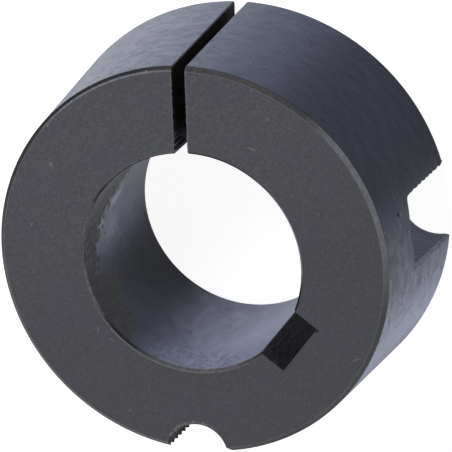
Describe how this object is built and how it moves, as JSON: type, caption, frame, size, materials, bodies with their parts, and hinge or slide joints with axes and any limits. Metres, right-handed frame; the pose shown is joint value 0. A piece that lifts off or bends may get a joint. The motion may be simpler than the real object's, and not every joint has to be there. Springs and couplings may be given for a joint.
{
  "type": "taper lock bushing",
  "caption": "Split tapered cast-iron bushing that clamps a hub on a keyed shaft, with blind half-holes for set screws and a tapped half-hole for jacking it free.",
  "frame": {"origin": "centre of the large end face, on the axis of the shaft bore", "axes": "+Z along the bore axis from the large end to the small end, +Y from the axis to the middle of the keyway"},
  "size_m": [0.0572, 0.0572, 0.0254],
  "materials": {
    "phosphated_iron": "satin"
  },
  "bodies": {
    "root": {"taper_bushing": "phosphated_iron"}
  },
  "joints": []
}
